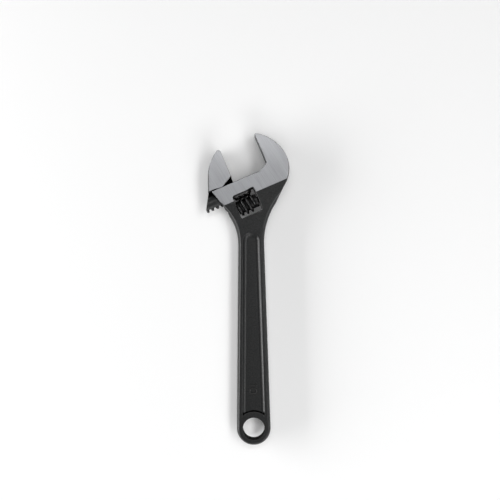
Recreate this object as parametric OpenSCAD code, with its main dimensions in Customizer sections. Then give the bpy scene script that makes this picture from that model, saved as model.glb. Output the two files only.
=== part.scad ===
// Adjustable wrench: a forged body with a fixed jaw, a jaw that slides on a round toothed rail,
// and a worm in a window of the body that drives it. Lengths are millimetres, angles degrees.
// The origin is the middle of the hang hole, +Y runs along the handle to the head, and +Z comes
// out of the front face. The head has its own directions: u along the shelf towards the fixed
// jaw, and v along the jaw faces, both from the corner where the fixed jaw meets the shelf.

/* [Handle] */
// Length of the wrench from the round end to the tip of the fixed jaw
overall_len = 254; // [225:1:300]
// Width of the handle at its narrow part, below the head
neck_w = 21.3; // [19:0.1:24]
// Width of the handle at its round end
end_w = 27.6; // [25:0.1:31]
// Thickness of the handle at its narrow part
neck_t = 10.4; // [9:0.1:13]
// Thickness of the handle at its round end
end_t = 9.2; // [8:0.1:12]
// Diameter of the hang hole
hole_d = 17.7; // [10:0.1:19]
// Width of the slope along both sides of the handle
side_slope_w = 2.1; // [0.5:0.1:3]
// Height of the upright strip that the slopes leave on each side
side_strip_h = 4.6; // [2:0.1:7]
// Further width that the slopes gain where the head is thicker than the handle
side_slope_gain = 0.5; // [0:0.1:1.5]

/* [Handle recess] */
// Width of the rail left on each side of the recess, slope included
recess_rail_w = 3.9; // [3:0.1:6]
// Thickness of the panel between the two recesses
panel_t = 6.4; // [4:0.1:8]
// How far the recess walls lean in from rim to panel
recess_lean = 2.2; // [0.5:0.1:3]
// Radius of the boss round the hang hole, which ends the recess
boss_r = 13.2; // [11.5:0.1:18]
// How far the boss's wall leans out from rim to panel
boss_lean = 1.7; // [0.5:0.1:3]
// How far the middle of the recess's round top lies above the narrow part of the handle
recess_top_rise = 3; // [-40:0.5:4]

/* [Head] */
// Angle between the jaw faces and the handle
head_angle = 22.5; // [15:0.5:25]
// Length of the head, from the narrow part of the handle to the tip of the fixed jaw
head_len = 90.2; // [88:0.1:100]
// Sideways distance from the handle's middle to the corner of the fixed jaw
corner_x = 14.9; // [13.5:0.1:17]
// Thickness of the head and of both jaws
head_t = 15.5; // [15:0.1:19]
// Height of the ground flat of the head, measured down from the shelf
flat_h = 14.4; // [12:0.1:24]
// Slope of the head's faces from the ground flat down to the handle
face_slope = 4.9; // [3:0.1:9]

/* [Fixed jaw] */
// Length of the fixed jaw, from the shelf to its tip
jaw_len = 29.65; // [26:0.05:33]
// Width of the fixed jaw at its root
jaw_w = 17.1; // [15:0.1:21]
// Radius of the lower back of the fixed jaw
back_low_r = 25.45; // [24:0.05:28]
// Height above the shelf at which the fixed jaw is widest
back_rise = 2.2; // [0:0.1:4]
// Direction in which the lower back starts, where the flank meets it
back_start_angle = -35; // [-42:1:-28]
// Direction from the centre of that radius in which the larger radius of the upper back takes over
back_blend_angle = 37; // [32:1:44]
// Width of the flat tip of the fixed jaw
jaw_tip_w = 2.85; // [2:0.05:5]
// Width of the small bevel at the corner of each jaw tip
tip_bevel = 0.8; // [0.2:0.1:1.5]
// Length of the ramp between the shelf and the fixed jaw's face
ramp_len = 7.1; // [4:0.1:8]
// Height of that ramp
ramp_h = 4.1; // [2:0.1:4.5]

/* [Body sides] */
// Length of the shelf from the corner of the fixed jaw to its free end
shelf_len = 50.4; // [49:0.1:53]
// Depth below the shelf of the lower end of the sloping left end
left_end_drop = 13.9; // [13:0.1:17]
// How far that lower end lies back from the free end of the shelf
left_end_back = 4; // [2:0.1:6]
// Length of the straight part of the flank, between its hollow and the fixed jaw's back
right_flank_straight = 21.3; // [15:0.1:26]
// Length of the straight part of the other flank, between its hollow and the left end
left_flank_straight = 12.7; // [8:0.1:18]

/* [Sliding jaw] */
// Opening between the jaws at rest
opening = 30.75; // [24:0.05:31]
// Gap left between the jaw faces when the wrench is closed
closed_gap = 0.3; // [0.1:0.05:1]
// Length of the sliding jaw, from the shelf to its tip
hook_len = 28.1; // [24:0.1:31]
// Width of the sliding jaw at the shelf
hook_w = 22.6; // [20:0.1:26]
// Radius of the sliding jaw's back
hook_r = 37.4; // [34:0.1:44]
// Height of the straight lower part of that back
hook_straight = 11.7; // [8:0.1:14]
// Length of the relief under the hook, next to its face
relief_len = 9.9; // [8.5:0.1:12]
// Height of that relief
relief_h = 5.5; // [5.2:0.1:8]
// Thickness of the web between hook and rail
web_t = 6; // [5:0.1:7]
// How far the web's edge lies behind the jaw face
web_setback = 0.5; // [0.2:0.1:1]
// Radius of the hollow where the web's edge meets the top of the tongue
web_fillet = 1.5; // [1:0.1:2]
// How far the top of the tongue lies below the shelf
tongue_drop = 0.3; // [0.1:0.05:1]
// Lean of the rail's free end
rail_end_lean = 8; // [0:0.5:12]

/* [Rail and rack] */
// Diameter of the round rail
rail_d = 12; // [11:0.1:12.8]
// Depth of the rail's middle below the shelf
rail_depth = 8.6; // [8:0.1:9.4]
// Length of the rail beyond the jaw face, towards the fixed jaw
rail_tail = 10.4; // [8:0.1:10.8]
// Size of the bevel at that end of the rail
rail_nose = 2.6; // [2:0.1:3.5]
// Length of the tongue over the rail beyond the jaw face
tongue_tail = 6.5; // [4:0.1:7.5]
// Clearance round the rail in its bore
rail_clear = 0.2; // [0.1:0.05:0.3]
// Clearance on each side of the web in its slot
slot_clear = 0.15; // [0.1:0.05:0.3]
// Clearance between the top of the tongue and its slot
tongue_clear = 0.7; // [0.2:0.1:1]
// Clearance between the hook and the shelf
shelf_clear = 0.1; // [0.05:0.05:0.3]
// Depth left free beyond the end of the rail when the wrench is closed
bore_clear = 0.8; // [0.4:0.1:1.5]
// Distance from one rack tooth, or one turn of the worm, to the next
pitch = 4.25; // [4:0.05:4.6]
// Depth of the rack teeth
tooth_h = 2.4; // [2:0.1:2.6]
// Width of a rack tooth, and of the worm's thread, at its tip
tip_w = 1.5; // [1.2:0.05:1.6]
// Width of a rack tooth, and of the worm's thread, at its root
root_w = 2.5; // [2.2:0.05:2.6]

/* [Worm] */
// Width of the window along the worm's axis
window_w = 18.3; // [17:0.1:19.5]
// Distance from the fixed jaw's face to the window
window_back = 18.3; // [17.5:0.1:20]
// Depth of the window's upper edge below the shelf
window_top = 10.3; // [9.6:0.1:11]
// How far the window's side towards the fixed jaw bows out
window_bow = 0.6; // [0.2:0.1:1]
// Diameter of the worm over its thread
worm_d = 15.4; // [15:0.1:15.6]
// Depth of the worm's thread
thread_h = 2.3; // [2:0.1:2.4]
// Clearance between the thread's crest and the bottom of the rack's gaps
mesh_clear = 0.6; // [0.4:0.1:0.8]
// Clearance between the worm and the lower edge of the window
window_clear = 1.6; // [0.8:0.1:2]
// Gap between the worm and each side wall of the window
worm_gap = 0.25; // [0.1:0.05:0.5]
// Turns of thread before the first crest on the worm's underside
thread_lead_in = 0.42; // [0.3:0.01:0.5]
// Turns of thread after that crest
thread_turns = 2.95; // [2.5:0.05:3]
// Turns over which the thread grows to its full height at each end
thread_run_out = 0.22; // [0.15:0.01:0.3]
// Share of its width that the thread keeps at its very ends
thread_end_share = 0.45; // [0.3:0.05:0.6]
// Distance from the window's left wall to the first crest on the worm's underside
first_crest = 2.65; // [2.6:0.05:2.9]

/* [Pin and spring] */
// Diameter of the pin's shank
pin_d = 5; // [4:0.1:5.4]
// Clearance between the pin and the worm's bore
pin_clear = 0.1; // [0.05:0.01:0.2]
// Clearance between the pin and its holes in the body
pin_hole_clear = 0.05; // [0.02:0.01:0.1]
// Diameter of the pin's head
pin_head_d = 7; // [6.2:0.1:8]
// Thickness of the shoulder of the body under the pin's head
shoulder_t = 2; // [1.5:0.1:3]
// Length of the pin's head
pin_head_len = 6.4; // [5:0.1:7]
// Depth to which the pin enters the far wall
pin_reach = 8; // [5:0.1:12]
// Width and depth of the screwdriver slot
driver_slot = 1.2; // [0.8:0.1:1.6]
// Diameter of the spring's wire
wire_d = 0.8; // [0.6:0.05:0.9]
// Clearance of the spring inside its pocket and round the pin
spring_clear = 0.35; // [0.2:0.05:0.4]
// Depth of the spring's pocket in the worm
pocket_h = 6; // [4:0.1:8]
// Number of turns of the spring
spring_turns = 4.5; // [3:0.5:5]
// Gap between the spring and the bottom of its pocket
spring_gap = 0.05; // [0.02:0.01:0.2]

/* [Hidden] */
$fn = 96;

black_oxide = [0.15, 0.16, 0.16];
ground_steel = [0.62, 0.62, 0.63];
spring_steel = [0.45, 0.45, 0.46];

eps = 0.01;
// how far a cutter reaches beyond the surface it cuts
over = 1;
// how far the handle runs on inside the head
handle_overlap = 2;
// what the head's outline leaves outside its flanks, and how far above the neck it starts
flank_spare = 0.5;
flank_lift = 3;
// how far the cutter of a flank reaches beyond it
flank_reach = 4;
// how deep the thread's sections are sunk into the worm's core, and their least height
thread_sunk = 0.4;
thread_least = 0.1;
end_r = end_w / 2;
tip_y = overall_len - end_r;
neck_y = tip_y - head_len;
corner = [corner_x, tip_y - jaw_len * cos(head_angle)];
u_dir = [cos(head_angle), sin(head_angle)];
v_dir = [-sin(head_angle), cos(head_angle)];
// angle by which each side of the handle closes in towards the neck
taper = asin(end_r / norm([neck_w / 2, neck_y])) - atan2(neck_w / 2, neck_y);

// the faces of the head slope down to the handle; they reach it at ramp_v at the latest
ramp_v = -flat_h - (head_t - neck_t) / 2 / tan(face_slope);
handle_top = corner.y + (ramp_v + (neck_w / 2 - corner.x) * sin(head_angle)) / cos(head_angle)
    + handle_overlap;

// the back of the fixed jaw, two arcs that meet without a corner, up to the back of its tip
face_tip = head_point(0, jaw_len);
back_tip = face_tip + [jaw_tip_w, 0];
back_low_c = head_point(jaw_w - back_low_r, back_rise);
tip_reach = (back_tip - back_low_c) * compass(back_blend_angle);
back_high_r = (pow(norm(back_tip - back_low_c), 2) - back_low_r * (2 * tip_reach - back_low_r))
    / (2 * (back_low_r - tip_reach));
back_high_c = back_low_c - (back_high_r - back_low_r) * compass(back_blend_angle);

// the hollow flanks of the head, in line with the handle's sides at the neck
back_start = back_low_c + back_low_r * compass(back_start_angle);
left_end = head_point(left_end_back - shelf_len, -left_end_drop);
right_neck = [neck_w / 2, neck_y];
left_neck = [-neck_w / 2, neck_y];
right_flank_r = flank_radius(right_neck, compass(taper), back_start, right_flank_straight);
left_flank_r = flank_radius(left_neck, compass(180 - taper), left_end, left_flank_straight);
right_flank_c = right_neck + right_flank_r * compass(taper);
left_flank_c = left_neck + left_flank_r * compass(180 - taper);

// worm and rack
worm_r = worm_d / 2;
worm_root_r = worm_r - thread_h;
rack_floor = rail_depth + rail_d / 2 - tooth_h;
worm_depth = rack_floor + mesh_clear + worm_r;
window_bottom = worm_depth + worm_r + window_clear;
window_left = -window_back - window_w;
worm_left = window_left + worm_gap;
worm_len = window_w - 2 * worm_gap;
crest_u = window_left + first_crest;
lead_angle = atan(pitch / (PI * (worm_d - thread_h)));

// rail
rail_r = rail_d / 2;
bore_r = rail_r + rail_clear;
slot_t = web_t + 2 * slot_clear;
bore_end = rail_tail - closed_gap + bore_clear;
slot_end = tongue_tail - closed_gap + bore_clear;
// beyond the free end of the shelf
far_left = -2 * shelf_len;

// pin and spring
pin_shoulder = window_left - shoulder_t;
pin_end = -window_back + pin_reach;
pocket_r = pin_d / 2 + 2 * spring_clear + wire_d;
coil_r = pin_d / 2 + spring_clear + wire_d / 2;

function compass(a) = [cos(a), sin(a)];
function head_point(u, v) = corner + u * u_dir + v * v_dir;
function arc(c, r, a0, a1, n) = [for (i = [0:n]) c + r * compass(a0 + (a1 - a0) * i / n)];
// direction in which the point p lies, seen from c
function bearing(c, p) = atan2(p.y - c.y, p.x - c.x);
// radius of a hollow that leaves p square to the direction n and ends in a straight line, l long, to q
function flank_radius(p, n, q, l) = ((q - p) * (q - p) - l * l) / (2 * (q - p) * n);
// x at which a circle of radius r about c is at height y, on the side given by the sign s
function circle_x(c, r, y, s) = c.x + s * sqrt(r * r - (y - c.y) * (y - c.y));

// places its children in the head's own directions, u along X and v along Y
module at_head() {
    translate([corner.x, corner.y, 0]) rotate([0, 0, head_angle]) children();
}

// extrudes a (Y, Z) outline along X from x0 to x1
module along_x(x0, x1) {
    translate([x0, 0, 0]) rotate([90, 0, 90]) linear_extrude(x1 - x0) children();
}

// extrudes an (X, Z) outline along Y from y0 to y1
module along_y(y0, y1) {
    translate([0, y1, 0]) rotate([90, 0, 0]) linear_extrude(y1 - y0) children();
}

// a cylinder along X, on the axis of height v
module rod_x(r, x0, x1, v) {
    translate([x0, v, 0]) rotate([0, 90, 0]) cylinder(r = r, h = x1 - x0);
}

// such a rod with the bevel of the rail's nose at its right end
module nosed_rod_x(r, x0, x1, v) {
    len = x1 - x0;
    translate([x0, v, 0]) rotate([0, 90, 0]) rotate_extrude()
        polygon([[0, 0], [r, 0], [r, len - rail_nose], [r - rail_nose, len], [0, len]]);
}

// ---- body ----

// one side of the handle in section, with both slopes, from its middle out to half width r
module side_section(r, middle) {
    polygon([
        [middle, -neck_t / 2], [r - side_slope_w, -neck_t / 2], [r, -side_strip_h / 2],
        [r, side_strip_h / 2], [r - side_slope_w, neck_t / 2], [middle, neck_t / 2]]);
}

// the handle, which runs on into the head until the head is thicker
module handle() {
    intersection() {
        union() {
            for (s = [0, 1]) mirror([s, 0, 0])
                rotate([0, 0, taper]) along_y(0, handle_top) side_section(end_r, -end_r / 3);
            rotate_extrude() side_section(end_r, 0);
        }
        along_x(-end_w, end_w) polygon([
            [-end_w, -end_t / 2], [boss_r, -end_t / 2], [neck_y, -neck_t / 2], [tip_y, -neck_t / 2],
            [tip_y, neck_t / 2], [neck_y, neck_t / 2], [boss_r, end_t / 2], [-end_w, end_t / 2]]);
    }
}

// outline of the head, anticlockwise from the neck on the fixed jaw's side; along the hollow
// flanks it keeps a little outside them, for flank_cutter() to shape
function head_outline() =
    let (
        inner_x = neck_w / 2 - side_slope_w - 1,
        right_r = right_flank_r - flank_spare,
        left_r = left_flank_r - flank_spare,
        right_foot = bearing(right_flank_c, back_start) + acos(right_r / norm(back_start - right_flank_c)),
        left_foot = bearing(left_flank_c, left_end) - acos(left_r / norm(left_end - left_flank_c))
    )
    concat(
        [[inner_x, neck_y]],
        arc(right_flank_c, right_r, 180 + taper - asin(flank_lift / right_r), right_foot, 8),
        arc(back_low_c, back_low_r, bearing(back_low_c, back_start), back_blend_angle, 16),
        arc(back_high_c, back_high_r, back_blend_angle, bearing(back_high_c, back_tip), 12),
        [face_tip + [tip_bevel, 0], head_point(0, jaw_len - tip_bevel),
            head_point(0, ramp_h), head_point(-ramp_len, 0), head_point(-shelf_len, 0), left_end],
        arc(left_flank_c, left_r, left_foot, asin(flank_lift / left_r) - taper, 8),
        [[-inner_x, neck_y]]);

// what is cleared outside a hollow flank of radius r: an upright wall with a slope above and below
module flank_cutter(c, r) {
    clear_r = r - flank_reach;
    top = head_t / 2 + over;
    slope_r = r + side_slope_w;
    top_r = slope_r + side_slope_gain;
    translate([c.x, c.y, 0]) rotate_extrude() polygon([
        [clear_r, -top], [top_r, -top], [slope_r, -neck_t / 2], [r, -side_strip_h / 2],
        [r, side_strip_h / 2], [slope_r, neck_t / 2], [top_r, top], [clear_r, top]]);
}

module head() {
    bottom_v = -flat_h - head_t / 2 / tan(face_slope);
    difference() {
        intersection() {
            translate([0, 0, -head_t / 2]) linear_extrude(head_t) polygon(head_outline());
            at_head() along_x(-head_len, head_len) polygon([
                [bottom_v, 0], [-flat_h, -head_t / 2], [head_len, -head_t / 2],
                [head_len, head_t / 2], [-flat_h, head_t / 2]]);
        }
        flank_cutter(right_flank_c, right_flank_r);
        flank_cutter(left_flank_c, left_flank_r);
    }
}

// the recess in the front of the handle: leaning walls, a round top and a hollow foot
module recess() {
    floor_z = panel_t / 2;
    rim_z = neck_t / 2;
    top_y = neck_y + recess_top_rise;
    rim_r = end_r - top_y * sin(taper) - recess_rail_w;
    depth = rim_z - floor_z;
    lean = recess_lean / depth;
    wall_r = rim_r + lean * over;
    floor_r = rim_r - recess_lean;
    difference() {
        translate([0, top_y, 0]) {
            for (s = [0, 1]) mirror([s, 0, 0]) rotate([0, 0, taper])
                along_y(-top_y, 0) polygon([
                    [-floor_r, floor_z], [floor_r, floor_z],
                    [wall_r, rim_z + over], [-floor_r, rim_z + over]]);
            rotate([0, 0, taper]) rotate_extrude(angle = 180 - 2 * taper) polygon([
                [0, floor_z], [floor_r, floor_z], [wall_r, rim_z + over], [0, rim_z + over]]);
        }
        translate([0, 0, floor_z - eps])
            cylinder(
                r1 = boss_r + boss_lean, r2 = boss_r - boss_lean / depth * over, h = depth + over + 2 * eps);
        translate([-end_w, -end_w, floor_z - eps]) cube([2 * end_w, end_w, rim_z]);
    }
}

// window for the worm, with its right side bowed out a little
module window() {
    h = window_bottom - window_top;
    bow_r = (h * h / 4 + window_bow * window_bow) / (2 * window_bow);
    half = asin(h / 2 / bow_r);
    mid_v = -(window_top + window_bottom) / 2;
    translate([0, 0, -head_t]) linear_extrude(2 * head_t) polygon(concat(
        arc([-window_back + window_bow - bow_r, mid_v], bow_r, -half, half, 8),
        [[window_left, -window_top], [window_left, -window_bottom]]));
}

// the bore and slot that the rail and the web run in
module rail_way() {
    closed_top = tongue_clear - tongue_drop;
    open_top = ramp_h + over;
    nosed_rod_x(bore_r, far_left, bore_end, -rail_depth);
    along_y(-rail_depth, closed_top) polygon([
        [far_left, -slot_t / 2], [slot_end, -slot_t / 2], [slot_end, slot_t / 2], [far_left, slot_t / 2]]);
    along_y(-rail_depth, open_top) polygon([
        [far_left, -slot_t / 2], [-eps, -slot_t / 2], [-eps, slot_t / 2], [far_left, slot_t / 2]]);
}

module pin_holes() {
    hole_r = pin_d / 2 + pin_hole_clear;
    rod_x(pin_head_d / 2 + pin_hole_clear, far_left, pin_shoulder, -worm_depth);
    rod_x(hole_r, pin_shoulder - eps, pin_end + bore_clear, -worm_depth);
}

module body() {
    color(black_oxide) difference() {
        union() {
            handle();
            head();
        }
        cylinder(d = hole_d, h = 2 * neck_t, center = true);
        recess();
        mirror([0, 0, 1]) recess();
        at_head() {
            window();
            rail_way();
            pin_holes();
        }
    }
}

// ---- sliding jaw ----

// outline of the hook in (X, Y) of the whole wrench, clear of the shelf
function hook_outline() =
    let (
        root = head_point(-opening - hook_w, shelf_clear),
        back_c = root + [hook_r, hook_straight],
        tip = head_point(-opening, hook_len),
        tip_x = circle_x(back_c, hook_r, tip.y, -1)
    )
    concat(
        [head_point(-opening, relief_h), head_point(-opening, hook_len - tip_bevel),
            [max(tip.x - tip_bevel, tip_x + eps), tip.y]],
        arc(back_c, hook_r, bearing(back_c, [tip_x, tip.y]) + (tip.y < back_c.y ? 360 : 0), 180, 16),
        [root, head_point(-opening - relief_len, shelf_clear)]);

// leaning plane that ends the rail: everything to its right, in (X, Y) of the whole wrench
module right_of_rail_end() {
    root = head_point(-opening - hook_w, shelf_clear);
    down = 2 * rail_depth + rail_d;
    foot = root - down * [tan(rail_end_lean), 1];
    far = corner + [shelf_len, -down];
    translate([0, 0, -head_t]) linear_extrude(2 * head_t)
        polygon([foot, [far.x, foot.y], [far.x, tip_y], [root.x, tip_y], root]);
}

module web() {
    face_u = -opening - web_setback;
    fillet_c = [face_u + web_fillet, web_fillet - tongue_drop];
    translate([0, 0, -web_t / 2]) linear_extrude(web_t) polygon(concat(
        [[face_u, relief_h + web_fillet]],
        arc(fillet_c, web_fillet, 180, 270, 6),
        [[tongue_tail - opening, -tongue_drop], [tongue_tail - opening, -rail_depth],
            [far_left, -rail_depth], [far_left, shelf_clear],
            [-opening - relief_len, shelf_clear + relief_h]]));
}

// one gap between two rack teeth, cut along the worm's lead
module rack_gap() {
    top_gap = pitch - root_w;
    tip_gap = pitch - tip_w;
    depth = rail_r + tooth_h;
    slant = (tip_gap - top_gap) / 2 / tooth_h;
    rotate([0, lead_angle, 0]) translate([0, 0, -rail_d]) linear_extrude(2 * rail_d) polygon([
        [-top_gap / 2, 0], [top_gap / 2, 0],
        [top_gap / 2 + slant * depth, -depth], [-top_gap / 2 - slant * depth, -depth]]);
}

module sliding_jaw() {
    left_u = -opening - hook_w - rail_d;
    right_u = rail_tail - opening;
    // the gaps of the rack stand over the thread's crests
    first_gap = crest_u + pitch / 2;
    low = ceil((left_u - first_gap) / pitch);
    high = ceil((right_u - first_gap) / pitch);
    color(ground_steel) {
        difference() {
            union() {
                translate([0, 0, -head_t / 2]) linear_extrude(head_t) polygon(hook_outline());
                intersection() {
                    at_head() {
                        web();
                        nosed_rod_x(rail_r, left_u - rail_d, right_u, -rail_depth);
                    }
                    right_of_rail_end();
                }
            }
            at_head() for (i = [low:high])
                translate([first_gap + i * pitch, -rack_floor, 0]) rack_gap();
        }
    }
}

// ---- worm ----

thread_step = 12;
// share of the thread's full height at t turns from the first lower crest
function thread_grow(t) =
    max(0, min(1, (t + thread_lead_in) / thread_run_out, (thread_turns - t) / thread_run_out));
// one section of the thread at t turns, in the frame of the head with the worm's axis as X
function thread_section(t) =
    let (
        inner_r = worm_root_r - thread_sunk,
        least_r = inner_r + thread_least,
        outer_r = least_r + (worm_r - least_r) * thread_grow(t),
        base_w = root_w + (root_w - tip_w) / thread_h * thread_sunk,
        // the thread's ends are narrower, to stay within the length of the worm
        share = thread_end_share + (1 - thread_end_share) * thread_grow(t),
        u = crest_u + pitch * t,
        out = compass(180 + 360 * t)
    )
    [for (p = [[-base_w / 2, inner_r], [-tip_w / 2, outer_r], [tip_w / 2, outer_r], [base_w / 2, inner_r]])
        [u + share * p.x, p.y * out.x, p.y * out.y]];

module thread() {
    steps = round((thread_turns + thread_lead_in) * 360 / thread_step);
    points = [for (i = [0:steps])
        each thread_section(-thread_lead_in + (thread_turns + thread_lead_in) * i / steps)];
    polyhedron(points, concat(
        [[3, 2, 1, 0]],
        [for (i = [0:steps - 1], j = [0:3]) let (a = 4 * i + j, b = 4 * i + (j + 1) % 4)
            each [[a, b, a + 4], [b, b + 4, a + 4]]],
        [[for (j = [0:3]) 4 * steps + j]]));
}

module worm() {
    color(black_oxide) at_head() difference() {
        union() {
            rod_x(worm_root_r, worm_left, worm_left + worm_len, -worm_depth);
            translate([0, -worm_depth, 0]) thread();
        }
        rod_x(pin_d / 2 + pin_clear, worm_left - over, worm_left + worm_len + over, -worm_depth);
        rod_x(pocket_r, worm_left + worm_len - pocket_h, worm_left + worm_len + over, -worm_depth);
    }
}

// ---- pin and spring ----

module worm_pin() {
    head_u = pin_shoulder - pin_head_len;
    color(black_oxide) at_head() difference() {
        union() {
            rod_x(pin_head_d / 2, head_u, pin_shoulder, -worm_depth);
            rod_x(pin_d / 2, pin_shoulder - eps, pin_end, -worm_depth);
        }
        translate([head_u - eps, -worm_depth - driver_slot / 2, -pin_head_d])
            cube([driver_slot + eps, driver_slot, 2 * pin_head_d]);
    }
}

// a wire coil, ground flat at both ends
module worm_spring() {
    u0 = worm_left + worm_len - pocket_h + spring_gap;
    u1 = -window_back;
    sides = 8;
    per_turn = 20;
    steps = round(spring_turns * per_turn);
    len = u1 - u0;
    points = [for (i = [0:steps]) let (t = i / per_turn, out = compass(360 * t))
        for (k = [0:sides - 1]) let (
            a = 360 * k / sides,
            r = coil_r + wire_d / 2 * cos(a),
            u = u0 + len * i / steps + wire_d / 2 * sin(a))
        [u, r * out.x, r * out.y]];
    color(spring_steel) at_head() intersection() {
        translate([0, -worm_depth, 0]) polyhedron(points, concat(
            [[for (k = [0:sides - 1]) k]],
            [for (i = [0:steps - 1], k = [0:sides - 1])
                let (a = sides * i + k, b = sides * i + (k + 1) % sides)
                each [[a, a + sides, b], [b, a + sides, b + sides]]],
            [[for (k = [0:sides - 1]) sides * steps + sides - 1 - k]]));
        translate([u0, -worm_depth - worm_d, -worm_d]) cube([len, 2 * worm_d, 2 * worm_d]);
    }
}

body();
sliding_jaw();
worm();
worm_pin();
worm_spring();
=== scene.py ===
import math

import bpy
import numpy as np
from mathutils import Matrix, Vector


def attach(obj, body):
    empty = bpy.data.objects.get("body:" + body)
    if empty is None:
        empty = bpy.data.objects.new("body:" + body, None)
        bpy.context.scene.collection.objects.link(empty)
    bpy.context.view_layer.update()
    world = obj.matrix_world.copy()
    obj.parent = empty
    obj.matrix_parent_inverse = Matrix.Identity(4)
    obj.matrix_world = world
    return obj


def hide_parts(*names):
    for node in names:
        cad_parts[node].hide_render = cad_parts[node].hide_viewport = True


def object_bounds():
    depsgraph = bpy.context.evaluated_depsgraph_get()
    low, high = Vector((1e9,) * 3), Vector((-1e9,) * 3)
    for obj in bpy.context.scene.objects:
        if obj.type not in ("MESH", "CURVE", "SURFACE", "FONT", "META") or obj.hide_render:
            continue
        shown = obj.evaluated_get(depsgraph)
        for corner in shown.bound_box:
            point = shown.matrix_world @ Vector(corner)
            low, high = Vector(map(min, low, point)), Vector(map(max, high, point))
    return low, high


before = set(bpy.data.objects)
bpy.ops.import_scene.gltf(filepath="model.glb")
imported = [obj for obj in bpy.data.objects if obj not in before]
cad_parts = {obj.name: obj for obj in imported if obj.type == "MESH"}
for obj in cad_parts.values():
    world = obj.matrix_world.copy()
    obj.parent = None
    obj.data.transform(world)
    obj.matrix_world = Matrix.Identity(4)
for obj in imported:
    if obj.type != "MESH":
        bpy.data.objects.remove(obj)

bl_info = {
    "name": "Adjustable Wrench",
    "version": (1, 0, 0),
    "blender": (4, 5, 0),
    "location": "View3D > Sidebar > Wrench",
    "description": "Builds a forged adjustable wrench with its sliding jaw, worm, pin and spring",
    "category": "Object",
}

CAD_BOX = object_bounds()
MM = 0.001

# ---- sizes that the pieces share with the solids, in millimetres and degrees ----

NECK_W = 21.3
END_W = 27.6
NECK_T = 10.4
END_T = 9.2
HOLE_D = 17.7
SIDE_SLOPE_W = 2.1
SIDE_STRIP_H = 4.6
SIDE_SLOPE_GAIN = 0.5
RECESS_RAIL_W = 3.9
PANEL_T = 6.4
# the wall's lean and the fillet at its foot together take the place of the solid's lean of 2.2
RECESS_WALL_LEAN = 1.2
RECESS_FILLET = 1.8
RECESS_TOP_LEAN = 2.0
BOSS_FILLET = 0.25
BOSS_R = 13.2
BOSS_LEAN = 1.7
RECESS_TOP_RISE = 3.0
HEAD_ANGLE = 22.5
HEAD_LEN = 90.2
CORNER_X = 14.9
HEAD_T = 15.5
FLAT_H = 14.4
FACE_SLOPE = 4.9
JAW_LEN = 29.65
JAW_W = 17.1
BACK_LOW_R = 25.45
BACK_RISE = 2.2
BACK_START_ANGLE = -35.0
BACK_BLEND_ANGLE = 37.0
JAW_TIP_W = 2.85
TIP_BEVEL = 0.8
RAMP_LEN = 7.1
RAMP_H = 4.1
SHELF_LEN = 50.4
LEFT_END_DROP = 13.9
LEFT_END_BACK = 4.0
RIGHT_FLANK_STRAIGHT = 21.3
LEFT_FLANK_STRAIGHT = 12.7
FLANK_SPARE = 0.5
OPENING = 30.75
HOOK_LEN = 28.1
HOOK_W = 22.6
HOOK_R = 37.4
HOOK_STRAIGHT = 11.7
RELIEF_LEN = 9.9
RELIEF_H = 5.5
WEB_T = 6.0
WEB_SETBACK = 0.5
WEB_FILLET = 1.5
TONGUE_DROP = 0.3
RAIL_END_LEAN = 8.0
RAIL_D = 12.0
RAIL_DEPTH = 8.6
RAIL_TAIL = 10.4
RAIL_NOSE = 2.6
TONGUE_TAIL = 6.5
RAIL_CLEAR = 0.2
SLOT_CLEAR = 0.15
SHELF_CLEAR = 0.1
TONGUE_CLEAR = 0.7
CLOSED_GAP = 0.3
BORE_CLEAR = 0.8
PITCH = 4.25
TOOTH_H = 2.4
TIP_W = 1.5
ROOT_W = 2.5
WINDOW_W = 18.3
WINDOW_BACK = 18.3
WINDOW_TOP = 10.3
WINDOW_BOW = 0.6
WORM_D = 15.4
THREAD_H = 2.3
MESH_CLEAR = 0.6
WINDOW_CLEAR = 1.6
WORM_GAP = 0.25
THREAD_LEAD_IN = 0.42
THREAD_TURNS = 2.95
THREAD_RUN_OUT = 0.22
FIRST_CREST = 2.65
PIN_D = 5.0
PIN_CLEAR = 0.1
PIN_HOLE_CLEAR = 0.05
PIN_HEAD_D = 7.0
SHOULDER_T = 2.0
PIN_HEAD_LEN = 6.4
PIN_REACH = 8.0
DRIVER_SLOT = 1.2
WIRE_D = 0.8
SPRING_CLEAR = 0.35
POCKET_H = 6.0
SPRING_TURNS = 4.5

# ---- sizes of the visual alone, in millimetres ----

MARK_Y = 36.2
MARK_ONE_AT = 1.3
MARK_ZERO_AT = 5.6
MARK_ZERO_W = 4.6
MARK_ZERO_R = 1.7
MARK_FLAG = 1.1
MARK_LEAN = 0.3
MARK_SUNK = 0.3
MARK_GRID = 0.15
MESH_MARGIN = 1.2
FACE_MARGIN = 0.6
# the window's rounded corners: right or left, top or bottom, radius, and where the arc starts
WINDOW_CORNERS = ((1, 1, 0.8, 0), (-1, 1, 1.5, 90), (-1, -1, 1.0, 180), (1, -1, 0.8, 270))
BOW_TRIM = 2.0
WINDOW_ROUND = 0.25
WINDOW_ROUND_GAIN = 0.85
# how softly the forgings' surfaces run into each other
SLOPE_BLEND = 0.4
FACE_BLEND = 0.35
SIDE_ROUND = 0.5
RECESS_ROUND = 0.3
WEB_ROUND = 0.3
RAIL_ROUND = 0.4
RAIL_WEB_BLEND = 0.6
RAIL_END_ROUND = 0.7
TOOTH_ROUND = 0.4
TOOTH_ROOT_ROUND = 0.35
SMALL_BLEND = 0.15
ROOT_BLEND = 0.25
# the handle's edges are forged less round than the jaws' backs
HANDLE_ROUND_SHARE = 0.6
# the web's side view runs on this far under the hook, past the end of the rail
WEB_PAST = 70.0
WORM_AROUND = 336
WORM_ROWS = 256
WORM_END_BEVEL = 0.35
BORE_BEVEL = 0.2
PIN_AROUND = 64
COIL_SIDES = 14
COIL_STEPS = 48

# ---- places that follow from them ----

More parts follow.
